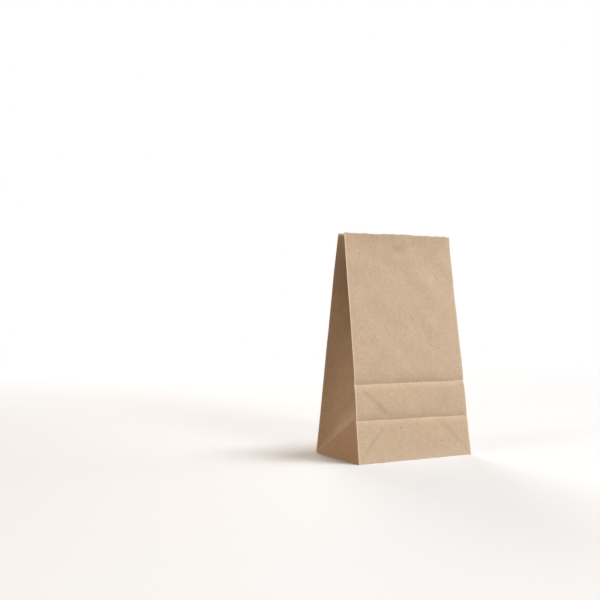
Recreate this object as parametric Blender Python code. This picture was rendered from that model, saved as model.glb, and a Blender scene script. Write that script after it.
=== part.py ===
"""Small brown paper bag, block bottom, side gussets, standing open.

One folded and glued sheet of kraft paper, modelled as one closed solid.
Metres, +Z up.  X runs along the width, the front panel (the one with the two
pressed creases) faces -Y, and the origin is the middle of the base at the
level of the lowest flap.
"""
import math

import bmesh
import bpy
import numpy as np

# ----------------------------------------------------------------- dimensions
WIDTH = 0.152            # base, corner to corner along X
DEPTH = 0.093            # base, front fold to back fold along Y
HEIGHT = 0.255           # length of the front panel along the paper
MOUTH = 0.0125           # gap between front and back panel at the mouth corners
MOUTH_BOW = 0.0040       # how far each panel bows out at the middle of the mouth
TOP_NARROW = 0.030       # the panels' side folds draw in by this share at the mouth
PAPER = 0.00012          # thickness of one ply
CREASE_1 = 0.045         # lower pressed crease, along the paper from the base fold
CREASE_2 = 0.085         # upper pressed crease
CREASE_DIP = 0.0009      # how far a pressed crease sits behind the panel
CREASE_REACH = 0.010     # the panel curves in over this length at each side of it
SEAM_WIDTH = 0.018       # glued lengthwise overlap, middle of the back panel
SEAM_CLEAR = 0.0004      # the overlap's edge stops this far below the cut top
FLAP_PAST_MIDDLE = 0.012  # the bottom flaps reach this far past the middle line

HALF_W = WIDTH / 2
HALF_D = DEPTH / 2
BASE_Z = 2 * PAPER       # underside of the folded-in side flaps
RUN = HALF_D - MOUTH / 2                        # how far each panel leans in
RISE = math.sqrt(HEIGHT * HEIGHT - RUN * RUN)   # its height when standing
SLOPE = RUN / HEIGHT                            # sine of the lean

# The pleat's bottom triangle keeps its flat size: its tip is HALF_D from the
# base fold, and HALF_D from the crease point on the leaning front fold, which
# gives the angle that it tips in by.
TIP_ANGLE = math.acos((1 - SLOPE) / math.sqrt(1 - SLOPE * SLOPE))


# ------------------------------------------------------------------- the sheet
def dip(s):
    """Inward offset of the front panel at distance s up the paper."""
    d = 0.0
    for c in (CREASE_1, CREASE_2):
        d += CREASE_DIP * max(0.0, 1.0 - abs(s - c) / CREASE_REACH)
    return d


def half_width(s):
    return HALF_W * (1 - TOP_NARROW * s / HEIGHT)


def bow(a, s):
    return MOUTH_BOW * (1 - a * a) * (s / HEIGHT) ** 2


def front(a, s):
    """Front panel: a runs -1 to 1 across it, s runs up the paper."""
    return (a * half_width(s), -HALF_D + SLOPE * s + dip(s) - bow(a, s),
            BASE_Z + s * RISE / HEIGHT)


def back(a, s):
    return (a * half_width(s), HALF_D - SLOPE * s + bow(a, s),
            BASE_Z + s * RISE / HEIGHT)


def pleat_fold(side, levels):
    """Middle fold of a side pleat, from its tip up to the mouth.

    At each level the two halves of the pleat, each HALF_D wide, span the
    space left between the leaning panels, so the fold goes in as they close.
    """
    pts = [(side * (HALF_W - HALF_D * math.sin(TIP_ANGLE)), 0.0,
            BASE_Z + HALF_D * math.cos(TIP_ANGLE))]
    for s0, s1 in zip([HALF_D] + levels[:-1], levels):
        gap = HALF_D - SLOPE * s1
        go_in = math.sqrt(HALF_D * HALF_D - gap * gap)
        x = side * (half_width(s1) - go_in)
        dx = x - pts[-1][0]
        pts.append((x, 0.0, pts[-1][2] + math.sqrt((s1 - s0) ** 2 - dx * dx)))
    return pts


LEVELS = [0.0, CREASE_1 - CREASE_REACH, CREASE_1, CREASE_1 + CREASE_REACH,
          CREASE_2 - CREASE_REACH, CREASE_2, CREASE_2 + CREASE_REACH,
          0.120, 0.150, 0.185, 0.220, HEIGHT]
ACROSS = [-1.0, -0.6, -0.2, 0.2, 0.6, 1.0]


def outer_skin():
    """Points and faces of the paper's outer side, open at the mouth."""
    pts, faces = [], []

    def add(p):
        pts.append(p)
        return len(pts) - 1

    fr = [[add(front(a, s)) for a in ACROSS] for s in LEVELS]
    bk = [[add(back(a, s)) for a in ACROSS] for s in LEVELS]
    n = len(ACROSS)
    for k in range(len(LEVELS) - 1):
        for i in range(n - 1):
            faces.append((fr[k][i], fr[k][i + 1], fr[k + 1][i + 1], fr[k + 1][i]))
            faces.append((bk[k][i + 1], bk[k][i], bk[k + 1][i], bk[k + 1][i + 1]))
    first = next(k for k, s in enumerate(LEVELS) if s > HALF_D)
    folds = []
    for side, col in ((-1, 0), (1, n - 1)):
        fold = [add(p) for p in pleat_fold(side, LEVELS[first:])]
        f = [row[col] for row in fr]
        b = [row[col] for row in bk]
        new = [(f[0], fold[0], b[0])]                       # bottom triangle
        for k in range(first):                              # fans at its tip
            if k < first - 1:
                new.append((f[k], f[k + 1], fold[0]))
                new.append((b[k + 1], b[k], fold[0]))
        for k in range(first - 1, len(LEVELS) - 1):         # the two halves above
            j = k - first + 1
            new.append((f[k], f[k + 1], fold[j]))
            new.append((f[k + 1], fold[j + 1], fold[j]))
            new.append((b[k + 1], b[k], fold[j]))
            new.append((fold[j + 1], b[k + 1], fold[j]))
        faces += new if side < 0 else [tuple(reversed(q)) for q in new]
        folds += fold
    base = ([fr[0][i] for i in range(n)], [bk[0][i] for i in range(n)])
    for i in range(n - 1):
        faces.append((base[0][i + 1], base[0][i], base[1][i], base[1][i + 1]))
    return pts, faces, folds


def triangles(pts, faces):
    """Split each four-sided face along its shorter diagonal."""
    out = []
    for q in faces:
        if len(q) == 3:
            out.append(tuple(q))
            continue
        a, b, c, d = (np.array(pts[i]) for i in q)
        if np.linalg.norm(a - c) <= np.linalg.norm(b - d):
            out += [(q[0], q[1], q[2]), (q[0], q[2], q[3])]
        else:
            out += [(q[0], q[1], q[3]), (q[1], q[2], q[3])]
    return out


def inner_points(pts, tris, folds):
    """Each point moved in so that every face at it moves in by one ply."""
    normals = [[] for _ in pts]
    for t in tris:
        a, b, c = (np.array(pts[i]) for i in t)
        nrm = np.cross(b - a, c - a)
        nrm /= np.linalg.norm(nrm)
        for i in t:
            normals[i].append(nrm)
    inner = []
    for i, p in enumerate(pts):
        a = np.array(normals[i])
        move = np.linalg.pinv(a, rcond=0.05) @ np.full(len(a), -PAPER)
        if i in folds:                                   # a fold isn't a spike
            size = np.linalg.norm(move)
            move *= min(1.0, 4 * PAPER / size)
        inner.append(tuple(np.array(p) + move))
    return inner


def sheet_mesh():
    pts, faces, folds = outer_skin()
    tris = triangles(pts, faces)
    inner = inner_points(pts, tris, set(folds))
    n = len(pts)
    all_pts = pts + inner
    all_tris = tris + [(c + n, b + n, a + n) for a, b, c in tris]
    edges = {}
    for t in tris:
        for i, j in ((t[0], t[1]), (t[1], t[2]), (t[2], t[0])):
            edges[(i, j)] = edges.get((i, j), 0) + 1
    for i, j in edges:                                   # the cut edge
        if (j, i) not in edges:
            all_tris += [(j, i, i + n), (j, i + n, j + n)]
    return all_pts, all_tris


def make_object(name, pts, faces, material):
    mesh = bpy.data.meshes.new(name)
    bm = bmesh.new()
    verts = [bm.verts.new(p) for p in pts]
    for f in faces:
        bm.faces.new([verts[i] for i in f])
    bmesh.ops.recalc_face_normals(bm, faces=bm.faces)
    bm.to_mesh(mesh)
    bm.free()
    mesh.materials.append(material)
    obj = bpy.data.objects.new(name, mesh)
    bpy.context.scene.collection.objects.link(obj)
    return obj


def prism(name, outline, low, high, material):
    """Flat plate: a closed outline of (x, y) between two heights."""
    n = len(outline)
    pts = [(x, y, low) for x, y in outline] + [(x, y, high) for x, y in outline]
    faces = [tuple(range(n - 1, -1, -1)), tuple(range(n, 2 * n))]
    faces += [(i, (i + 1) % n, (i + 1) % n + n, i + n) for i in range(n)]
    return make_object(name, pts, faces, material)


def seam_strip(name, material):
    """The back seam's outer ply, lying on the back panel up to the mouth."""
    cols = (-SEAM_WIDTH / 2, SEAM_WIDTH / 2)
    levels = [0.002] + LEVELS[1:-1] + [HEIGHT - SEAM_CLEAR]
    pts = []
    for s in levels:
        # the panel's face between the two middle columns, at this level
        k = next(i for i in range(len(LEVELS) - 1) if LEVELS[i + 1] >= s)
        t = (s - LEVELS[k]) / (LEVELS[k + 1] - LEVELS[k])
        lo, hi = back(0.2, LEVELS[k]), back(0.2, LEVELS[k + 1])
        y = lo[1] + (hi[1] - lo[1]) * t
        z = lo[2] + (hi[2] - lo[2]) * t
        for x in cols:
            pts += [(x, y - PAPER * 0.5, z), (x, y + PAPER, z)]
    faces = []
    for k in range(len(levels) - 1):
        a = 4 * k
        faces += [(a, a + 2, a + 6, a + 4), (a + 1, a + 5, a + 7, a + 3),
                  (a, a + 4, a + 5, a + 1), (a + 2, a + 3, a + 7, a + 6)]
    faces += [(0, 1, 3, 2), (len(pts) - 4, len(pts) - 2, len(pts) - 1, len(pts) - 3)]
    return make_object(name, pts, faces, material)


def join(target, tool):
    mod = target.modifiers.new("join_" + tool.name, "BOOLEAN")
    mod.operation = "UNION"
    mod.object = tool
    tool.hide_render = True
    tool.display_type = "WIRE"


def kraft():
    mat = bpy.data.materials.new("kraft_paper")
    mat.use_nodes = True
    bsdf = mat.node_tree.nodes["Principled BSDF"]
    bsdf.inputs["Base Color"].default_value = (0.56, 0.40, 0.265, 1.0)
    bsdf.inputs["Roughness"].default_value = 0.85
    bsdf.inputs["Metallic"].default_value = 0.0
    return mat


def main():
    for obj in list(bpy.data.objects):
        bpy.data.objects.remove(obj, do_unlink=True)
    mat = kraft()
    pts, tris = sheet_mesh()
    bag = make_object("paper_bag", pts, tris, mat)

    # Bottom flaps: the fold's 45 degree creases give each one sloping ends.
    # The back flap is turned in first, then the front flap over it.
    reach = HALF_D + FLAP_PAST_MIDDLE
    e = 0.00004                                     # keeps faces off each other
    back_flap = prism("flap_back",
                      [(HALF_W - e, HALF_D - e), (-HALF_W + e, HALF_D - e),
                       (-HALF_W + reach, HALF_D - reach), (HALF_W - reach, HALF_D - reach)],
                      PAPER, BASE_Z + PAPER * 0.5, mat)
    front_flap = prism("flap_front",
                       [(-HALF_W + e, -HALF_D + e), (HALF_W - e, -HALF_D + e),
                        (HALF_W - reach, -HALF_D + reach), (-HALF_W + reach, -HALF_D + reach)],
                       0.0, BASE_Z + PAPER * 0.4, mat)
    strip = seam_strip("seam", mat)
    for tool in (back_flap, front_flap, strip):
        join(bag, tool)
    bag.data.set_sharp_from_angle(angle=math.radians(2.0))


main()
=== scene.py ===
"""Looks of the brown paper lunch bag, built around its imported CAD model.

One folded sheet of kraft paper.  A single function maps a place on the flat
sheet (distance round the tube, distance up the paper) to its place on the
standing bag, folds included; the mesh, its rounded folds, pressed creases,
dents, seam step and bottom flaps all come from it.  Metres, +Z up, the
creased front panel faces -Y.
"""
import math

import bpy
import numpy as np
from mathutils import Matrix, Vector


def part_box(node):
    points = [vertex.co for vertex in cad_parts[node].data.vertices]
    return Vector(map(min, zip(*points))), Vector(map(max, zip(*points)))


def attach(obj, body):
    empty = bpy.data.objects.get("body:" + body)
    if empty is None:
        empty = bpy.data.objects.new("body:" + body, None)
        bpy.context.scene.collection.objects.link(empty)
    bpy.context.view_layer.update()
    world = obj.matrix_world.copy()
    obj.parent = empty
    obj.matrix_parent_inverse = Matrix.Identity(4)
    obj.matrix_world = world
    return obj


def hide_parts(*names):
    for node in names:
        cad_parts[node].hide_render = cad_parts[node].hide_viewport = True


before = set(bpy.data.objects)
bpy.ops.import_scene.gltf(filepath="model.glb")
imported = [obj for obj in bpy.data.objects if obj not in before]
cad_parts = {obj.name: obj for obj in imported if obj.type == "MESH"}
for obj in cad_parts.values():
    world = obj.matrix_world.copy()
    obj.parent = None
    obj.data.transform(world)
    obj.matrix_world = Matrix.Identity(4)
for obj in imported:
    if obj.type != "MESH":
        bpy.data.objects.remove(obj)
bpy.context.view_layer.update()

# ----------------------------------------------------------------- dimensions
(x0, y0, z0), (x1, y1, z1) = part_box("paper_bag")
W = x1 - x0                      # base width
D = y1 - y0                      # base depth
H = 0.255                        # paper length of the front panel
MOUTH = 0.0125
MOUTH_BOW = 0.0040
TOP_NARROW = 0.030
PLY = 0.00012
CREASE_1 = 0.0450
CREASE_2 = 0.0850
SEAM = 0.018
PAST = 0.012                     # bottom flaps reach this far past the middle
HW, HD = W / 2, D / 2
BASE_Z = 2 * PLY
RUN = HD - MOUTH / 2
RISE = math.sqrt(H * H - RUN * RUN)
SLOPE = RUN / H
TIP_IN, TIP_UP = 0.0231, 0.0421   # the pleat's lowest point: in from the side, up
ROUND = 0.00055                  # half width of the rounding at a fold


def smooth(t):
    t = np.clip(t, 0.0, 1.0)
    return t * t * (3 - 2 * t)


# -------------------------------------------------------------- seeded ripples
def ripples(seed, n, low, high):
    """A fixed sum of sine waves with wavelengths between low and high."""
    rng = np.random.default_rng(seed)
    lam = np.exp(rng.uniform(math.log(low), math.log(high), n))
    ang = rng.uniform(0, 2 * math.pi, n)
    ph = rng.uniform(0, 2 * math.pi, n)
    amp = lam / high
    kx, ky = 2 * math.pi / lam * np.cos(ang), 2 * math.pi / lam * np.sin(ang)
    norm = math.sqrt((amp ** 2).sum() / 2)

    def f(x, y):
        out = np.zeros(np.shape(x))
        for a, b, p, m in zip(kx, ky, ph, amp):
            out += m * np.sin(a * x + b * y + p)
        return out / norm
    return f


RIP_FRONT = ripples(11, 14, 0.030, 0.090)
RIP_FRONT_FINE = ripples(12, 22, 0.008, 0.022)
RIP_BACK = ripples(21, 14, 0.032, 0.095)
RIP_BACK_FINE = ripples(22, 22, 0.008, 0.022)
RIP_SIDE = ripples(31, 12, 0.026, 0.080)
RIP_SIDE_FINE = ripples(32, 18, 0.008, 0.020)


# ------------------------------------------------------------ the front's form
def crease_s(a, c, tilt):
    """Height of a pressed crease across the panel: nearly level, a bit wavy."""
    return c + tilt * a + 0.00018 * np.sin(5.1 * a + 40 * c) + 0.0001 * np.sin(13 * a + 3)


# How steeply the front panel runs inwards on its way down the paper, as a
# tangent: steep just above a pressed crease, the other way just below it, and
# slightly outwards under the mouth.  Its sum is the panel's profile.
_ps = np.linspace(-0.004, H + 0.004, 5201)


def _slope(s):
    out = np.zeros_like(s)
    for c, down, reach_up, back, reach_dn in ((CREASE_2, 0.430, 0.0060, 0.350, 0.0044),
                                              (CREASE_1, 0.430, 0.0054, 0.310, 0.0042)):
        d = s - c
        out += np.where(d >= 0, down * np.exp(-np.maximum(d, 0) / reach_up), 0)
        out -= np.where(d < 0, back * np.exp(-(np.minimum(d, 0) / reach_dn) ** 2), 0)
    out += 0.045 * np.exp(-((s - 0.0600) / 0.0130) ** 2)          # belly of the middle band
    out += 0.030 * np.exp(-((s - 0.0220) / 0.0150) ** 2)          # and of the lowest
    out -= 0.050 * np.exp(-((s - 0.0020) / 0.0040) ** 2)
    return out


_sl = _slope(_ps)
_off = -np.concatenate([[0], np.cumsum((_sl[1:] + _sl[:-1]) / 2 * np.diff(_ps))])
_off -= np.interp(0.0, _ps, _off)
_off -= _ps / H * np.interp(H, _ps, _off)                          # both ends on the plane


def front_profile(a, s):
    """Inward offset of the front panel from its plane."""
    d1 = crease_s(a, 0.0, -0.00065)
    d2 = crease_s(a, 0.03, -0.00005)
    w1 = np.exp(-((s - CREASE_1) / 0.014) ** 2)
    w2 = np.exp(-((s - CREASE_2) / 0.014) ** 2)
    off = np.interp(s - d1 * w1 - (d2 - 0.03) * w2, _ps, _off)
    # the last stretch below the mouth turns outwards, least at the left fold
    k = np.maximum(s - (H - 0.042), 0) / 0.042
    hold = 0.30 + 0.70 * smooth((a + 1.05) / 0.45) * (1 - 0.35 * smooth((a - 0.75) / 0.3))
    off = off - 0.0030 * hold * k ** 2.4
    return off


def line_press(x, s, p, q, width, depth, skew=0.0):
    """A faint pressed line on the paper from p to q; skew lifts one side."""
    (ax, ay), (bx, by) = p, q
    ex, ey = bx - ax, by - ay
    L = math.hypot(ex, ey)
    t = ((x - ax) * ex + (s - ay) * ey) / (L * L)
    n = ((x - ax) * -ey + (s - ay) * ex) / L
    fade = smooth(t / 0.12) * smooth((1 - t) / 0.18)
    g = np.exp(-(n / width) ** 2)
    side = np.tanh(n / width) * np.exp(-np.abs(n) / (5 * width))
    return fade * (depth * g + skew * side)


def front_marks(x, s):
    """Small pressed lines and dents on the front, inward positive."""
    m = np.zeros(np.shape(x))
    # the bottom flaps' 45 degree folds print through the lowest band
    m += line_press(x, s, (-HW + 0.001, 0.002), (-HW + 0.040, 0.043), 0.0012, 0.00030, -0.00085)
    m += line_press(x, s, (HW - 0.001, 0.002), (HW - 0.042, 0.044), 0.0015, 0.00026, 0.00042)
    # short slanting mark in the middle band
    m += line_press(x, s, (-0.0665, 0.0795), (-0.0318, 0.0490), 0.0010, 0.00026, -0.00070)
    # long soft buckles slanting down to the right
    for lam, ph, amp, cx, cs, rx, rs in ((0.034, 0.4, 0.00034, 0.000, 0.165, 0.055, 0.050),
                                         (0.023, 1.9, 0.00014, -0.020, 0.130, 0.045, 0.040),
                                         (0.046, 3.3, 0.00055, 0.025, 0.200, 0.050, 0.040)):
        m += amp * np.sin(2 * math.pi * (0.77 * x + 0.64 * s) / lam + ph) * np.exp(
            -((x - cx) / rx) ** 2 - ((s - cs) / rs) ** 2)
    # soft dents under the mouth
    for cx, cs, rx, rs, d in ((-0.005, 0.2345, 0.0085, 0.0065, 0.00150),
                              (0.020, 0.240, 0.012, 0.006, 0.00060),
                              (-0.030, 0.246, 0.014, 0.006, 0.00020),
                              (0.047, 0.222, 0.012, 0.018, 0.00022),
                              (-0.012, 0.110, 0.020, 0.016, 0.00018)):
        m += d * np.exp(-((x - cx) / rx) ** 2 - ((s - cs) / rs) ** 2)
    return m


# -------------------------------------------------------- the sheet, folded up
def half_width(s):
    return HW * (1 - TOP_NARROW * s / H)


def panel_z(s):
    return BASE_Z + s * RISE / H


def bow(a, s):
    return MOUTH_BOW * (1 - a * a) * (s / H) ** 2


def front_pt(a, s, flat=False):
    x = a * (half_width(s) + 0.0011 * smooth((0.15 - s) / 0.15))
    off = front_profile(a, s)
    edge = 1.0 - 0.45 * np.abs(a) ** 16          # folds are stiffer at the sides
    y = -HD + SLOPE * s + off * edge - bow(a, s)
    if not flat:
        fade = smooth(s / 0.012)
        hold = 1.0 - 0.6 * np.abs(a) ** 4
        y = y + fade * hold * (0.00022 * RIP_FRONT(x, s) + 0.000022 * RIP_FRONT_FINE(x, s))
        y = y + fade * front_marks(x, s)
    lift = (0.00030 * np.sin(2.3 * a + 0.6) + 0.00024 * np.sin(7.0 * a + 2.0) + 0.00018 * np.sin(17 * a)
            + 0.00016 * np.sin(37 * a + 1.0))
    z = panel_z(s) + lift * smooth((s - (H - 0.02)) / 0.02)
    return np.stack([x, y, z], -1)


def back_pt(a, s):
    x = a * (half_width(s) - 0.0013 * np.maximum((s - (H - 0.045)) / 0.045, 0) ** 2)
    y = HD - SLOPE * s + bow(a, s)
    fade = smooth(s / 0.012)
    hold = 1.0 - 0.6 * np.abs(a) ** 4
    y = y - fade * hold * (0.00030 * RIP_BACK(x, s) + 0.000024 * RIP_BACK_FINE(x, s))
    y = y + 0.0010 * smooth((s - (H - 0.030)) / 0.030) ** 1.5
    # the folded-up bottom printed faint lines through to the back
    y = y - 0.00016 * np.exp(-((s - 0.0455) / 0.0016) ** 2) - 0.00012 * np.exp(-((s - 0.0865) / 0.0018) ** 2)
    # and the bottom flaps' slanting folds
    y = y - fade * line_press(x, s, (-HW + 0.001, 0.002), (-HW + 0.040, 0.043), 0.0018, 0.00010, -0.00010)
    y = y - fade * line_press(x, s, (HW - 0.001, 0.002), (HW - 0.040, 0.043), 0.0018, 0.00010, 0.00010)
    lift = 0.00026 * np.sin(2.9 * a + 2.2) + 0.00018 * np.sin(8.0 * a + 0.4)
    z = panel_z(s) + lift * smooth((s - (H - 0.02)) / 0.02)
    return np.stack([x, y, z], -1)


# middle fold of a pleat, as a table over the distance up the paper
_s = np.concatenate([[HD], np.linspace(HD + 0.0005, H, 420)])
_gap = HD - SLOPE * _s
_in = np.sqrt(HD * HD - _gap * _gap)
_short = 1 - TIP_IN / math.sqrt(HD * HD - (HD - SLOPE * HD) ** 2)
_in = _in * (1 - _short * (1 - smooth((_s - HD) / 0.070)))
_x = HW * (1 - TOP_NARROW * _s / H) - _in
_x[0] = HW - _in[0]
_z = np.empty_like(_s)
_z[0] = BASE_Z + TIP_UP
_dz = np.sqrt(np.maximum(np.diff(_s) ** 2 - np.diff(_x) ** 2, 0))
_z[1:] = _z[0] + np.cumsum(_dz)
FOLD_S, FOLD_X, FOLD_Z = _s, _x, _z


def fold_pt(side, s):
    """Middle fold of a pleat at s up the paper (from the tip upwards)."""
    k = np.maximum(s - H, 0)
    x = np.interp(s, FOLD_S, FOLD_X) - k * 0.02
    z = np.interp(s, FOLD_S, FOLD_Z) + k
    return np.stack([side * x, np.zeros_like(x), z], -1)


def pleat_pt(side, v, s):
    """Side pleat: v runs 0 at the front fold to D at the back fold."""
    v = np.asarray(v, float)
    s = np.asarray(s, float)
    fe = front_pt(np.full(np.shape(s), side * 1.0), s)
    be = back_pt(np.full(np.shape(s), side * 1.0), s)
    tip = np.array([side * FOLD_X[0], 0.0, FOLD_Z[0]])
    f0 = np.array([side * (HW + 0.0011), -HD, BASE_Z])
    b0 = np.array([side * HW, HD, BASE_Z])
    near = v <= HD                                   # the half next to the front
    d = np.where(near, v, D - v)                     # distance from the outer fold
    edge = np.where(near[..., None], fe, be)
    t = (d / HD)[..., None]
    tt = t[..., 0]
    # straight lines run parallel to the slanting folds, so the sheet bends
    # smoothly from those up; the front edge's dents fade within the pleat
    se = np.maximum(s - d, 0)
    fold = fold_pt(side, s)
    run = fold_pt(side, se + HD)

    def calm(q):
        return np.stack([side * (half_width(q) + 0.0011 * smooth((0.15 - q) / 0.15)),
                         -HD + SLOPE * q, panel_z(q)], -1)

    up_f = calm(se) + (run - calm(se)) * t + (fe - calm(s)) * np.exp(-d / 0.007)[..., None]
    eb = back_pt(np.full(np.shape(s), side * 1.0), se)
    up_b = eb + (run - eb) * t
    upper = np.where(near[..., None], up_f, up_b)
    # the paper bends out of the straight line, into the gap between the halves
    chord = fold - edge
    nrm = np.stack([-chord[..., 1], chord[..., 0], np.zeros_like(s)], -1)
    nrm /= np.maximum(np.linalg.norm(nrm, axis=-1, keepdims=True), 1e-9)
    toward = np.where(near, 1.0, -1.0)
    sign = np.sign(nrm[..., 1] * toward + 1e-12)
    nrm = nrm * sign[..., None]
    grow = smooth((s - d) / 0.055)
    belly = (0.0019 * np.sin(math.pi * tt) + 0.0007 * np.sin(2 * math.pi * tt)) * grow
    belly = belly * (1 - 0.45 * smooth((s - 0.15) / 0.10)) * (-1.0 + 1.6 * smooth((s - 0.085) / 0.09))
    over = np.maximum(s - d, 0)
    belly = belly - 0.0011 * (over / 0.006) * np.exp(1 - over / 0.006) * smooth(d / 0.010) * smooth((1 - tt) / 0.25) * (~near)
    shift = 0.3 if side > 0 else 0.0
    rip = smooth((s - d) / 0.03) * np.sin(math.pi * tt) * (
        0.00016 * RIP_SIDE(v + shift, s) + 0.000018 * RIP_SIDE_FINE(v + shift, s))
    # a faint second slant line above the pleat's lower fold
    line = s - 1.22 * d - 0.0235
    press = 0.00034 * np.tanh(line / 0.0016) * np.exp(-np.abs(line) / 0.009) * smooth(d / 0.012) * (~near)
    upper = upper + nrm * (belly + rip + press)[..., None]
    # the bottom triangle between the two slanting folds
    mid_v = HD
    # barycentric in sheet space: (0,0), (D,0), (HD,HD)
    wt = s / HD
    wb = 1 - wt
    vb = np.where(wb > 1e-6, (v - wt * mid_v) / np.maximum(wb, 1e-6), HD)
    vb = np.clip(vb, 0, D)
    tri = tip * wt[..., None] + (f0 + (vb / D)[..., None] * (b0 - f0)) * wb[..., None]
    # the triangle sags very slightly
    sag = 0.0004 * np.clip(np.sin(math.pi * np.clip(vb / D, 0, 1)), 0, 1) * np.clip(4 * wt * wb, 0, 1)
    tri = tri + np.array([-side, 0, 0.5]) * sag[..., None]
    out = np.where((d >= s)[..., None], tri, upper)
    return out


PERIM = 2 * (W + D)


def tube(u, s):
    """Place on the standing bag of a point u round the tube and s up it.

    u = 0 at the middle of the front panel, rising towards +X, once round.
    """
    u = np.mod(np.asarray(u, float), PERIM)
    s = np.asarray(s, float)
    u, s = np.broadcast_arrays(u, s)
    sc = np.maximum(s, 0.0)
    e1, e2, e3, e4 = HW, HW + D, HW + D + W, HW + 2 * D + W
    out = np.empty(u.shape + (3,))
    m = (u <= e1) | (u >= e4)
    if m.any():
        uu = np.where(u >= e4, u - PERIM, u)
        out[m] = front_pt((uu / HW)[m], sc[m])
    m = (u > e1) & (u <= e2)
    if m.any():
        out[m] = pleat_pt(1, (u - e1)[m], sc[m])
    m = (u > e2) & (u <= e3)
    if m.any():
        out[m] = back_pt(((e2 + HW - u) / HW)[m], sc[m])
    m = (u > e3) & (u < e4)
    if m.any():
        out[m] = pleat_pt(-1, (e4 - u)[m], sc[m])
    # below the base fold the paper runs in under the bag
    under = s < 0
    if under.any():
        k = -s[under]
        p = out[under]
        p[:, 0] *= (HW - k) / HW
        p[:, 1] *= (HD - k) / HD
        out[under] = p
    return out


def rounded(u, s):
    """tube(), averaged over a small patch, so that every fold is round."""
    n = 2
    offs = np.linspace(-1, 1, 2 * n + 1)
    wts = np.exp(-(offs * 1.25) ** 2)
    acc, tot = 0, 0
    for i, a in zip(offs, wts):
        for j, b in zip(offs, wts):
            uu = u + i * ROUND
            ss = s + j * ROUND
            over = np.maximum(ss - H, 0)            # mirror back at the cut edge
            acc = acc + a * b * tube(uu, ss - 2 * over)
            tot += a * b
    out = acc / tot
    # averaging shortens the sheet by a hair at the cut edge: put that back
    exact = tube(u, s)
    k = smooth((s - (H - 0.003)) / 0.003)[..., None]
    out[..., 2] = out[..., 2] * (1 - k[..., 0]) + (out[..., 2] + (exact[..., 2] - out[..., 2])) * k[..., 0]
    return out


# --------------------------------------------------------------- the mesh grid
def spaced(a, b, n, tight=()):
    """n + 1 values from a to b, closer together near the given values."""
    t = np.linspace(a, b, 4001)
    dens = np.ones_like(t)
    for c, w, k in tight:
        dens += k * np.exp(-((t - c) / w) ** 2)
    cum = np.concatenate([[0], np.cumsum((dens[1:] + dens[:-1]) / 2 * np.diff(t))])
    cum /= cum[-1]
    return np.interp(np.linspace(0, 1, n + 1), cum, t)


# levels below the tip are shared by height and pleat width, so that the
# slanting folds run exactly along the mesh
low = spaced(0.0, HD, 36, ((0.0, 0.0012, 5.0), (CREASE_1, 0.0022, 3.5), (HD, 0.0008, 4.0)))
high = spaced(HD, H, 100, ((HD, 0.0010, 5.0), (CREASE_2, 0.0030, 4.0), (CREASE_2, 0.010, 0.8), (H, 0.0015, 3.0)))
levels = np.concatenate([low, high[1:]])
UNDER = np.array([-0.0030, -0.0014, -0.0008, -0.0004])
rows_s = np.concatenate([UNDER, levels])

front_x = spaced(-HW, HW, 64, ((-HW, 0.0014, 6.0), (HW, 0.0014, 6.0)))
half_v = low
seam_e = SEAM / 2
back_a = spaced(-HW, -seam_e, 21, ((-HW, 0.0014, 6.0), (-seam_e, 0.0012, 3.0)))
back_b = spaced(-seam_e, seam_e, 12, ((-seam_e, 0.001, 3.0), (seam_e, 0.001, 3.0)))
back_c = spaced(seam_e, HW, 21, ((HW, 0.0014, 6.0), (seam_e, 0.0012, 3.0)))
back_x = np.concatenate([back_a[:-1], [-seam_e - 0.00006], back_b[:1] + 0.00002, back_b[1:-1],
                         [seam_e - 0.00002, seam_e + 0.00006], back_c[1:]])

cols_u = [front_x[front_x >= 0]]
e1, e2, e3, e4 = HW, HW + D, HW + D + W, HW + 2 * D + W
cols_u.append(e1 + half_v[1:])                              # right, front half
cols_u.append(e2 - half_v[::-1][1:])                        # right, back half
cols_u.append(e2 + HW - back_x[::-1][1:])                   # back panel, +X to -X
cols_u.append(e3 + half_v[1:])                              # left, back half
cols_u.append(e4 - half_v[::-1][1:])                        # left, front half
cols_u.append(PERIM + front_x[(front_x > -HW) & (front_x < -1e-9)])
cols = np.concatenate(cols_u)
nC, nR = len(cols), len(rows_s)

U, S = np.meshgrid(cols, rows_s)
P = rounded(U, S)

# the base rows: the paper lies flat on z of its own flap (front lowest)
flat_z = np.zeros(nC)
on_back = (cols > e2) & (cols <= e3)
on_side = ((cols > e1) & (cols <= e2)) | ((cols > e3) & (cols < e4))
flat_z[on_back] = PLY
flat_z[on_side] = BASE_Z
drop = (BASE_Z - flat_z)
ease = smooth((0.004 - rows_s) / 0.004)
P[:, :, 2] -= ease[:, None] * drop[None, :]
P[0, :, 2] = flat_z

# normals of the grid, for the seam's step and the paper's thickness
def grid_normals(P):
    du = np.roll(P, -1, 1) - np.roll(P, 1, 1)
    dv = np.empty_like(P)
    dv[1:-1] = P[2:] - P[:-2]
    dv[0] = P[1] - P[0]
    dv[-1] = P[-1] - P[-2]
    n = np.cross(du, dv)
    return n / np.maximum(np.linalg.norm(n, axis=-1, keepdims=True), 1e-12)


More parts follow.
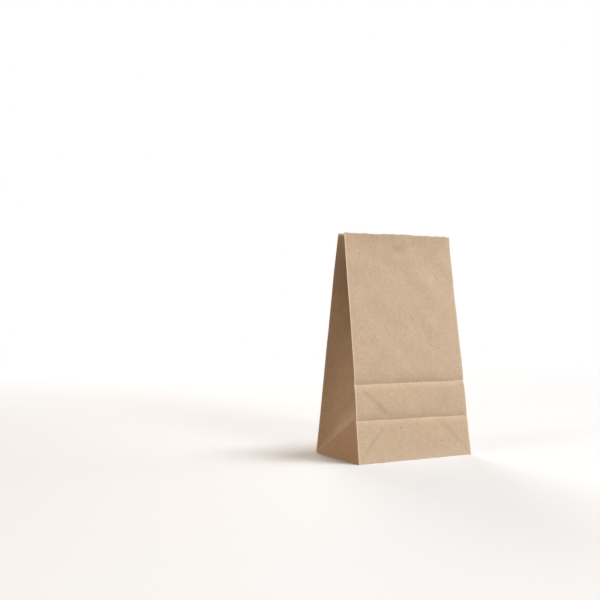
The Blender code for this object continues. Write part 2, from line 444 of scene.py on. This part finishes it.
# back seam: the outer ply ends in a cut edge at +X, and rides up over the
# ply below it at -X; inside, the other ply's cut edge shows the other way
bx = e2 + HW - cols                                       # x on the back panel
isb = on_back & (np.abs(bx) < 0.030)
N = grid_normals(P)
step_out = np.where(isb & (bx <= seam_e), smooth((bx + seam_e + 0.004) / 0.004), 0.0)
step_out = np.where(isb & (bx > seam_e), 0.0, step_out)
step_in = np.where(isb & (bx >= -seam_e), smooth((seam_e + 0.004 - bx) / 0.004), 0.0)
rowfade = np.where(rows_s < 0.0005, 0.0, 1.0)
OUT = P + N * (step_out * PLY * 2.8)[None, :, None] * rowfade[:, None, None]
INN = P - N * (PLY * (1 + 1.0 * step_in))[None, :, None]
for k in range(len(UNDER) + 1):
    INN[k, :, 2] = np.maximum(INN[k, :, 2], BASE_Z + PLY)

verts = []
faces = []
mats = []


def add_grid(Q):
    start = len(verts)
    verts.extend(map(tuple, Q.reshape(-1, 3)))
    return start


o0 = add_grid(OUT)
i0 = add_grid(INN)


def vid(start, r, c):
    return start + r * nC + (c % nC)


col_v = {}
for c in range(nC):
    u = cols[c]
    nxt = cols[(c + 1) % nC] if c + 1 < nC else PERIM
    um = (u + nxt) / 2
    if e1 < um < e2:
        v = um - e1
    elif e3 < um < e4:
        v = e4 - um
    else:
        v = None
    for r in range(nR - 1):
        a, b, cc, d = (r, c), (r, c + 1), (r + 1, c + 1), (r + 1, c)
        sm = (rows_s[r] + rows_s[r + 1]) / 2
        flip = False
        if v is not None and 0 < sm < HD:
            # split along the slanting fold's own direction
            rising = (v < HD) == (e1 < um < e2)
            # on the right side v grows with u: the front half's fold rises with u
            flip = not rising
        for start, inside in ((o0, False), (i0, True)):
            q = [vid(start, *a), vid(start, *b), vid(start, *cc), vid(start, *d)]
            if v is not None and 0 < sm < HD:
                t = [(q[0], q[1], q[2]), (q[0], q[2], q[3])] if not flip else [(q[0], q[1], q[3]), (q[1], q[2], q[3])]
            else:
                t = [tuple(q)]
            for f in t:
                faces.append(tuple(reversed(f)) if inside else f)
# the cut edge at the mouth
for c in range(nC):
    faces.append((vid(o0, nR - 1, c), vid(o0, nR - 1, c + 1), vid(i0, nR - 1, c + 1), vid(i0, nR - 1, c)))

# floor of the bag inside, one polygon at the inner skin's lowest row
faces.append(tuple(vid(i0, 0, c) for c in range(nC)))


# ------------------------------------------------------------- bottom, outside
reach = HD + PAST


def addv(x, y, z):
    verts.append((x, y, z))
    return len(verts) - 1


# corner columns of the lowest row
ci = {}
for name, u in (("fr", e1), ("br", e2), ("bl", e3), ("fl", e4)):
    ci[name] = int(np.argmin(np.abs(cols - u)))


def ring_between(c_from, c_to):
    c, out = c_from, [vid(o0, 0, c_from)]
    while c != c_to:
        c = (c + 1) % nC
        out.append(vid(o0, 0, c))
    return out


# flap outlines start at the corners of the lowest row and run in at 45 degrees
fr_in = (HW - reach, -HD + reach)
fl_in = (-HW + reach, -HD + reach)
zf, zb, zs = 0.0, PLY, BASE_Z
# points on each layer where the flaps' slanting edges run
pt_f_r = addv(fr_in[0], fr_in[1], zf)
pt_f_l = addv(fl_in[0], fl_in[1], zf)
up_f_r = addv(fr_in[0], fr_in[1], zb)
up_f_l = addv(fl_in[0], fl_in[1], zb)
# where the front flap's slant crosses the back flap's slant: on y = 0
cx = HW - HD
x_r_lo = addv(cx, 0.0, zf)
x_r_mid = addv(cx, 0.0, zb)
x_r_hi = addv(cx, 0.0, zs)
x_l_lo = addv(-cx, 0.0, zf)
x_l_mid = addv(-cx, 0.0, zb)
x_l_hi = addv(-cx, 0.0, zs)

front_ring = ring_between(ci["fl"], ci["fr"])
right_ring = ring_between(ci["fr"], ci["br"])
back_ring = ring_between(ci["br"], ci["bl"])
left_ring = ring_between(ci["bl"], ci["fl"])
# the corner vertices sit at the front and back flaps' heights; the side
# triangles start one column in, so each step is a real edge of one ply
# front flap: ring, then its slants and its straight edge
faces.append(tuple(reversed(front_ring + [x_r_lo, pt_f_r, pt_f_l, x_l_lo])))
# back flap: the part that the front flap leaves bare
faces.append(tuple(reversed(back_ring + [x_l_mid, up_f_l, up_f_r, x_r_mid])))
# side triangles
faces.append(tuple(reversed(right_ring + [x_r_hi])))
faces.append(tuple(reversed(left_ring + [x_l_hi])))
# steps: front flap's slants down from the side triangles, and past the middle
faces.append((right_ring[0], x_r_hi, x_r_mid, x_r_lo)[::-1])
faces.append((left_ring[-1], x_l_lo, x_l_mid, x_l_hi)[::-1])
faces.append((x_r_lo, x_r_mid, up_f_r, pt_f_r))
faces.append((x_l_lo, pt_f_l, up_f_l, x_l_mid))
faces.append((pt_f_r, up_f_r, up_f_l, pt_f_l))
# back flap's slants
faces.append((right_ring[-1], x_r_mid, x_r_hi)[::-1])
faces.append((left_ring[0], x_l_hi, x_l_mid)[::-1])

mesh = bpy.data.meshes.new("bag_sheet")
mesh.from_pydata(verts, [], faces)
mesh.validate(verbose=False)
mesh.update()

import bmesh
bm = bmesh.new()
bm.from_mesh(mesh)
bmesh.ops.recalc_face_normals(bm, faces=bm.faces)
open_edges = sum(1 for e in bm.edges if not e.is_manifold)
print("bag_sheet: verts", len(bm.verts), "faces", len(bm.faces), "non-manifold edges", open_edges)
bm.to_mesh(mesh)
bm.free()

# sheet coordinates for the material: distance round and up the paper, in metres
uvl = mesh.uv_layers.new(name="sheet")
n_skin = nR * nC
co = np.empty(len(mesh.loops), int)
mesh.loops.foreach_get("vertex_index", co)
uu = np.zeros(len(verts))
ss = np.zeros(len(verts))
uu[:n_skin] = U.reshape(-1)
uu[n_skin:2 * n_skin] = U.reshape(-1)
ss[:n_skin] = S.reshape(-1)
ss[n_skin:2 * n_skin] = S.reshape(-1)
luv = np.stack([uu[co], ss[co]], -1)
# the wrap column: loops of the last face column end at PERIM, not 0
loop_total = np.empty(len(mesh.polygons), int)
loop_start = np.empty(len(mesh.polygons), int)
mesh.polygons.foreach_get("loop_total", loop_total)
mesh.polygons.foreach_get("loop_start", loop_start)
for st, n in zip(loop_start, loop_total):
    if n > 4:
        for k in range(st, st + n):
            v = verts[co[k]]
            luv[k] = (v[0], v[1] - 0.2)
        continue
    seg = luv[st:st + n, 0]
    if seg.max() - seg.min() > PERIM / 2:
        luv[st:st + n, 0] = np.where(seg < PERIM / 2, seg + PERIM, seg)
uvl.data.foreach_set("uv", luv.astype(np.float32).reshape(-1))
for p in mesh.polygons:
    # the flat bottom flaps and their one-ply steps stay flat
    p.use_smooth = len(p.vertices) <= 4 and max(p.vertices) < 2 * n_skin
mesh.set_sharp_from_angle(angle=math.radians(50))

# how worn each point's fold is, plus painted light (a pale streak above the pleats' slanting folds and a pale band
# along the front's side folds), 0 to 1, kept as a mesh attribute
wear_and_painted_light = np.zeros(len(verts))
uc = U.reshape(-1)
sc_ = S.reshape(-1)


def near(d, w):
    return np.exp(-(d / w) ** 2)


side_folds = np.zeros_like(uc)
for e in (e1, e2, e3, e4):
    side_folds = np.maximum(side_folds, near(uc - e, 0.0009))
mid_fold = np.maximum(near(uc - (e1 + HD), 0.0008), near(uc - (e3 + HD), 0.0008)) * (sc_ > HD)
vv = np.where((uc > e1) & (uc < e2), uc - e1, np.where((uc > e3) & (uc < e4), e4 - uc, 1.0))
dd = np.minimum(vv, D - vv)
slant = near(dd - sc_, 0.0009) * (vv < 0.5) * (sc_ < HD + 0.0006)
level_front = np.zeros_like(uc)
af = np.where(uc > e4 - 1e-9, uc - PERIM, uc) / HW
onf = np.abs(af) <= 1.001
level_front = np.where(onf, 0.75 * np.maximum(near(sc_ - crease_s(af, CREASE_1, -0.00065), 0.0007),
                                              near(sc_ - crease_s(af, CREASE_2, -0.00005), 0.0007)), 0)
base = near(sc_, 0.0009) * 0.8
top = near(sc_ - H, 0.0010)
seam_x = e2 + HW - uc
seam_line = np.where((uc > e2) & (uc < e3), near(seam_x - seam_e, 0.0005) * 0.8 * (sc_ > 0.001), 0)
# painted highlight: the paper lightened in a broad streak on the pleats' back halves, just above their slanting folds
above = sc_ - dd
painted_light_streak = 0.76 * smooth(above / 0.0015) * np.exp(-(above / 0.021) ** 2) * (vv > HD) * (vv < 0.5) * smooth((dd - 0.006) / 0.024)
# painted highlight: a pale band along the front panel's two side folds
front_fold_painted_highlight = np.where(onf, np.maximum(near(uc - e1, 0.0017), near(uc - e4, 0.0017)), 0)
wear_and_painted_light_all = np.clip(np.maximum.reduce([seam_line, painted_light_streak, front_fold_painted_highlight, side_folds, 0.8 * mid_fold, slant, level_front, base, top]), 0, 1)
wear_and_painted_light[:n_skin] = wear_and_painted_light_all
wear_and_painted_light[n_skin:2 * n_skin] = wear_and_painted_light_all * 0.6
# kept per face corner, so that the paleness at the rim stops there and doesn't spread over the wide bottom flaps
corner_wear_and_painted_light = wear_and_painted_light[co]
for st, n in zip(loop_start, loop_total):
    if n > 4:
        corner_wear_and_painted_light[st:st + n] = 0.0
att = mesh.attributes.new("fold_wear_and_painted_light", "FLOAT", "CORNER")
att.data.foreach_set("value", corner_wear_and_painted_light.astype(np.float32))

bag = bpy.data.objects.new("bag_sheet", mesh)
bpy.context.scene.collection.objects.link(bag)


# --------------------------------------------------------------- kraft paper
def kraft_material():
    mat = bpy.data.materials.new("kraft_paper")
    mat.use_nodes = True
    nt = mat.node_tree
    N_, L = nt.nodes, nt.links
    bsdf = N_["Principled BSDF"]
    bsdf.inputs["Roughness"].default_value = 0.78
    bsdf.inputs["Specular IOR Level"].default_value = 0.25
    bsdf.inputs["Sheen Weight"].default_value = 0.08
    bsdf.inputs["Sheen Roughness"].default_value = 0.5

    def node(kind, **kw):
        n = N_.new(kind)
        for k, v in kw.items():
            setattr(n, k, v)
        return n

    uv = node("ShaderNodeUVMap", uv_map="sheet")
    tex = node("ShaderNodeTexCoord")

    def mapping(src, scale, rot=(0, 0, 0), loc=(0, 0, 0)):
        m = node("ShaderNodeMapping")
        m.inputs["Scale"].default_value = scale
        m.inputs["Rotation"].default_value = rot
        m.inputs["Location"].default_value = loc
        L.new(src, m.inputs["Vector"])
        return m.outputs["Vector"]

    def noise(vec, scale, detail=3.0, rough=0.5, dist=0.0):
        n = node("ShaderNodeTexNoise")
        n.inputs["Scale"].default_value = scale
        n.inputs["Detail"].default_value = detail
        n.inputs["Roughness"].default_value = rough
        n.inputs["Distortion"].default_value = dist
        L.new(vec, n.inputs["Vector"])
        return n.outputs["Fac"]

    def rng(src, a, b, c, d, smooth_=False):
        m = node("ShaderNodeMapRange")
        if smooth_:
            m.interpolation_type = "SMOOTHSTEP"
        m.inputs["From Min"].default_value = a
        m.inputs["From Max"].default_value = b
        m.inputs["To Min"].default_value = c
        m.inputs["To Max"].default_value = d
        L.new(src, m.inputs["Value"])
        return m.outputs["Result"]

    def math_(op, a, b=None):
        m = node("ShaderNodeMath", operation=op)
        for i, v in enumerate((a, b)):
            if v is None:
                continue
            if isinstance(v, (int, float)):
                m.inputs[i].default_value = v
            else:
                L.new(v, m.inputs[i])
        return m.outputs[0]

    def mix(fac, a, b):
        m = node("ShaderNodeMix", data_type="RGBA")
        for sock, v in (("Factor", fac), ("A", a), ("B", b)):
            s = [i for i in m.inputs if i.name == sock and (i.type == "RGBA" or sock == "Factor" and i.type == "VALUE")][0]
            if isinstance(v, (int, float)):
                s.default_value = v
            elif isinstance(v, tuple):
                s.default_value = (*v, 1.0)
            else:
                L.new(v, s)
        return [o for o in m.outputs if o.type == "RGBA"][0]

    UVV = uv.outputs["UV"]
    # cloudy formation of the sheet, two sizes
    cloud = noise(mapping(UVV, (1, 1, 1)), 55.0, 4.0, 0.55)
    cloud2 = noise(mapping(UVV, (1, 1.25, 1), loc=(3.1, 1.7, 0)), 260.0, 3.0, 0.6)
    # fibres: long thin noise along the machine direction and across it
    fib1 = noise(mapping(UVV, (1.0, 0.16, 1), rot=(0, 0, 0.10)), 2600.0, 2.0, 0.6, 0.3)
    fib2 = noise(mapping(UVV, (0.22, 1.0, 1), rot=(0, 0, 0.5)), 2300.0, 2.0, 0.6, 0.3)
    fib3 = noise(mapping(UVV, (0.7, 0.25, 1), rot=(0, 0, -0.7)), 1500.0, 2.0, 0.6, 0.4)
    fibre = math_("ADD", math_("MULTIPLY", fib1, 0.4), math_("ADD", math_("MULTIPLY", fib2, 0.35), math_("MULTIPLY", fib3, 0.25)))

    base = mix(rng(cloud, 0.30, 0.70, 0, 1), (0.530, 0.414, 0.290), (0.595, 0.477, 0.347))
    base = mix(rng(cloud2, 0.30, 0.70, 0.0, 0.55), base, (0.550, 0.428, 0.298))
    base = mix(rng(fibre, 0.34, 0.48, 0.38, 0.0), base, (0.430, 0.290, 0.172))
    base = mix(rng(fibre, 0.54, 0.68, 0.0, 0.34), base, (0.700, 0.545, 0.390))

    # speckle of a millimetre or so
    speck = noise(mapping(UVV, (1.0, 0.85, 1), loc=(0.7, 0.2, 0)), 1050.0, 2.0, 0.55)
    base = mix(rng(speck, 0.30, 0.50, 0.56, 0.0), base, (0.440, 0.325, 0.215))
    base = mix(rng(speck, 0.50, 0.70, 0.0, 0.56), base, (0.715, 0.592, 0.455))
    speck2 = noise(mapping(UVV, (0.8, 1.0, 1), loc=(5.7, 2.2, 0)), 480.0, 2.0, 0.55)
    base = mix(rng(speck2, 0.32, 0.50, 0.18, 0.0), base, (0.445, 0.330, 0.220))
    base = mix(rng(speck2, 0.50, 0.68, 0.0, 0.18), base, (0.700, 0.580, 0.440))

    speck3 = noise(mapping(UVV, (1.0, 0.8, 1), rot=(0, 0, 0.7), loc=(9.1, 4.4, 0)), 175.0, 3.0, 0.55)
    base = mix(rng(speck3, 0.34, 0.50, 0.15, 0.0), base, (0.455, 0.340, 0.228))
    base = mix(rng(speck3, 0.50, 0.66, 0.0, 0.15), base, (0.690, 0.570, 0.432))

    # small dark flecks, sparse: voronoi cells, a few of them chosen
    vor = node("ShaderNodeTexVoronoi", feature="F1", voronoi_dimensions="2D")
    vor.inputs["Scale"].default_value = 95.0
    L.new(mapping(UVV, (1.0, 0.8, 1.0), rot=(0, 0, 0.3)), vor.inputs["Vector"])
    sep = node("ShaderNodeSeparateColor")
    L.new(vor.outputs["Color"], sep.inputs["Color"])
    chosen = rng(sep.outputs["Red"], 0.955, 0.960, 0, 1)
    dot = rng(vor.outputs["Distance"], 0.030, 0.064, 1, 0, True)
    fleck = math_("MULTIPLY", chosen, dot)
    base = mix(math_("MULTIPLY", fleck, 0.82), base, (0.115, 0.070, 0.040))
    # paler shives, finer and more of them
    vor2 = node("ShaderNodeTexVoronoi", feature="F1", voronoi_dimensions="2D")
    vor2.inputs["Scale"].default_value = 210.0
    L.new(mapping(UVV, (1.0, 0.35, 1.0), rot=(0, 0, 1.1)), vor2.inputs["Vector"])
    sep2 = node("ShaderNodeSeparateColor")
    L.new(vor2.outputs["Color"], sep2.inputs["Color"])
    f2 = math_("MULTIPLY", rng(sep2.outputs["Green"], 0.86, 0.88, 0, 1), rng(vor2.outputs["Distance"], 0.05, 0.13, 1, 0, True))
    base = mix(math_("MULTIPLY", f2, 0.30), base, (0.300, 0.195, 0.115))

    # folds rubbed paler, plus the painted highlights above the pleats' slanting folds and along the front panel's
    # side folds
    at = node("ShaderNodeAttribute", attribute_name="fold_wear_and_painted_light", attribute_type="GEOMETRY")
    rub_and_painted_light = math_("MULTIPLY", rng(at.outputs["Fac"], 0.15, 1.0, 0.0, 1.0), rng(noise(mapping(UVV, (1, 1, 1)), 420.0, 3.0), 0.25, 0.65, 0.55, 1.0))
    base = mix(math_("MULTIPLY", rub_and_painted_light, 0.72), base, (0.860, 0.730, 0.580))
    L.new(base, bsdf.inputs["Base Color"])

    # relief: fibres, formation, tiny cockle
    h = math_("ADD", math_("MULTIPLY", fibre, 0.000055),
              math_("ADD", math_("MULTIPLY", cloud2, 0.000060), math_("MULTIPLY", noise(mapping(UVV, (1, 1, 1)), 900.0, 2.0), 0.000030)))
    bump = node("ShaderNodeBump")
    bump.inputs["Strength"].default_value = 0.55
    bump.inputs["Distance"].default_value = 1.0
    L.new(h, bump.inputs["Height"])
    L.new(bump.outputs["Normal"], bsdf.inputs["Normal"])
    return mat


kraft = kraft_material()
mesh.materials.append(kraft)

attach(bag, "root")
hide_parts("paper_bag")


# ------------------------------------------------------------------ floor
def floor():
    n = 96
    radii = [0.0, 0.12, 0.3, 0.6, 1.0, 1.6, 2.6, 4.0, 6.5, 10.0]
    vs, fs = [(0, 0, 0)], []
    for r in radii[1:]:
        for k in range(n):
            t = 2 * math.pi * k / n
            vs.append((r * math.cos(t), r * math.sin(t), 0.0))
    for k in range(n):
        fs.append((0, 1 + k, 1 + (k + 1) % n))
    for i in range(len(radii) - 2):
        for k in range(n):
            a, b = 1 + i * n + k, 1 + i * n + (k + 1) % n
            fs.append((a, a + n, b + n, b))
    me = bpy.data.meshes.new("floor")
    me.from_pydata(vs, [], fs)
    me.update()
    ob = bpy.data.objects.new("floor", me)
    ob.location.z = -0.0001
    bpy.context.scene.collection.objects.link(ob)
    mat = bpy.data.materials.new("floor_paper_white")
    mat.use_nodes = True
    nt = mat.node_tree
    b = nt.nodes["Principled BSDF"]
    quiet = nt.nodes.new("ShaderNodeMix")
    quiet.data_type = "RGBA"
    path = nt.nodes.new("ShaderNodeLightPath")
    tone = [i for i in quiet.inputs if i.type == "RGBA"]
    tone[0].default_value = (0.34, 0.335, 0.33, 1)
    tone[1].default_value = (0.800, 0.865, 0.915, 1)
    nt.links.new(path.outputs["Is Camera Ray"], [i for i in quiet.inputs if i.type == "VALUE"][0])
    nt.links.new([o for o in quiet.outputs if o.type == "RGBA"][0], b.inputs["Base Color"])
    b.inputs["Roughness"].default_value = 0.9
    b.inputs["Specular IOR Level"].default_value = 0.1
    tc = nt.nodes.new("ShaderNodeTexCoord")
    ln = nt.nodes.new("ShaderNodeVectorMath")
    ln.operation = "LENGTH"
    nt.links.new(tc.outputs["Object"], ln.inputs[0])
    mr = nt.nodes.new("ShaderNodeMapRange")
    mr.interpolation_type = "SMOOTHSTEP"
    mr.inputs["From Min"].default_value = 0.25
    mr.inputs["From Max"].default_value = 1.6
    nt.links.new(ln.outputs["Value"], mr.inputs["Value"])
    em = nt.nodes.new("ShaderNodeEmission")
    em.inputs["Color"].default_value = (1, 1, 1, 1)
    em.inputs["Strength"].default_value = 1.0
    shown = nt.nodes.new("ShaderNodeMath")
    shown.operation = "MULTIPLY"
    shown.inputs[1].default_value = 1.0
    nt.links.new(path.outputs["Is Camera Ray"], shown.inputs[0])
    nt.links.new(shown.outputs[0], em.inputs["Strength"])
    mx = nt.nodes.new("ShaderNodeMixShader")
    nt.links.new(mr.outputs["Result"], mx.inputs["Fac"])
    nt.links.new(b.outputs["BSDF"], mx.inputs[1])
    nt.links.new(em.outputs["Emission"], mx.inputs[2])
    nt.links.new(mx.outputs["Shader"], nt.nodes["Material Output"].inputs["Surface"])
    me.materials.append(mat)
    return ob


floor()

# ------------------------------------------------------------------ lighting
scene = bpy.context.scene
world = bpy.data.worlds.new("studio")
scene.world = world
world.use_nodes = True
wn = world.node_tree
bg = wn.nodes["Background"]
bg.inputs["Color"].default_value = (1.0, 0.52, 0.22, 1)
bg.inputs["Strength"].default_value = 0.20
bg2 = wn.nodes.new("ShaderNodeBackground")
bg2.inputs["Color"].default_value = (1, 1, 1, 1)
bg2.inputs["Strength"].default_value = 1.0
lp = wn.nodes.new("ShaderNodeLightPath")
mxw = wn.nodes.new("ShaderNodeMixShader")
wn.links.new(lp.outputs["Is Camera Ray"], mxw.inputs["Fac"])
wn.links.new(bg.outputs["Background"], mxw.inputs[1])
wn.links.new(bg2.outputs["Background"], mxw.inputs[2])
wn.links.new(mxw.outputs["Shader"], wn.nodes["World Output"].inputs["Surface"])


def area(name, loc, target, size, power, color=(1, 1, 1)):
    li = bpy.data.lights.new(name, "AREA")
    li.shape = "DISK"
    li.size = size
    li.energy = power
    li.color = color
    ob = bpy.data.objects.new(name, li)
    ob.location = loc
    d = Vector(target) - Vector(loc)
    ob.rotation_mode = "QUATERNION"
    ob.rotation_quaternion = d.to_track_quat("-Z", "Y")
    bpy.context.scene.collection.objects.link(ob)
    return ob


mid = (0, 0, 0.12)
FAR = 2.3


def lamp(name, way, size, power, color=(1, 1, 1)):
    d = Vector(way).normalized() * FAR
    return area(name, (d.x, d.y, d.z + mid[2]), mid, size, power, color)


lamp("front", (0.10, -0.95, 0.20), 0.9, 27.0)
lamp("top", (0.32, -0.24, 0.93), 0.9, 37.0)
lamp("right", (0.90, -0.20, 0.40), 0.9, 4.0)
lamp("left", (-0.95, -0.10, 0.30), 0.9, 14.5, (1.0, 0.80, 0.66))
lamp("back", (0.25, 0.90, 0.36), 1.3, 31.0, (1.0, 0.93, 0.86))

# ------------------------------------------------------------------ camera
K = H                                        # camera place in paper lengths
cam_pos = Vector((-2.4047, -3.4024, 0.6885)) * K
yaw, pitch, roll = map(math.radians, (29.3584, -0.0454, 0.4481))
fwd = Vector((math.sin(yaw) * math.cos(pitch), math.cos(yaw) * math.cos(pitch), -math.sin(pitch)))
right = Vector((math.cos(yaw), -math.sin(yaw), 0))
up = right.cross(fwd)
r2 = right * math.cos(roll) + up * math.sin(roll)
u2 = up * math.cos(roll) - right * math.sin(roll)
cam_data = bpy.data.cameras.new("camera")
cam_data.sensor_width = 36.0
cam_data.lens = 913.1617 / 600 * 36.0
cam_data.clip_start = 0.02
cam_data.clip_end = 60.0
cam = bpy.data.objects.new("camera", cam_data)
m = Matrix((r2, u2, -fwd)).transposed().to_4x4()
m.translation = cam_pos
cam.matrix_world = m
scene.collection.objects.link(cam)
scene.camera = cam

scene.view_settings.view_transform = "Standard"
scene.view_settings.look = "None"
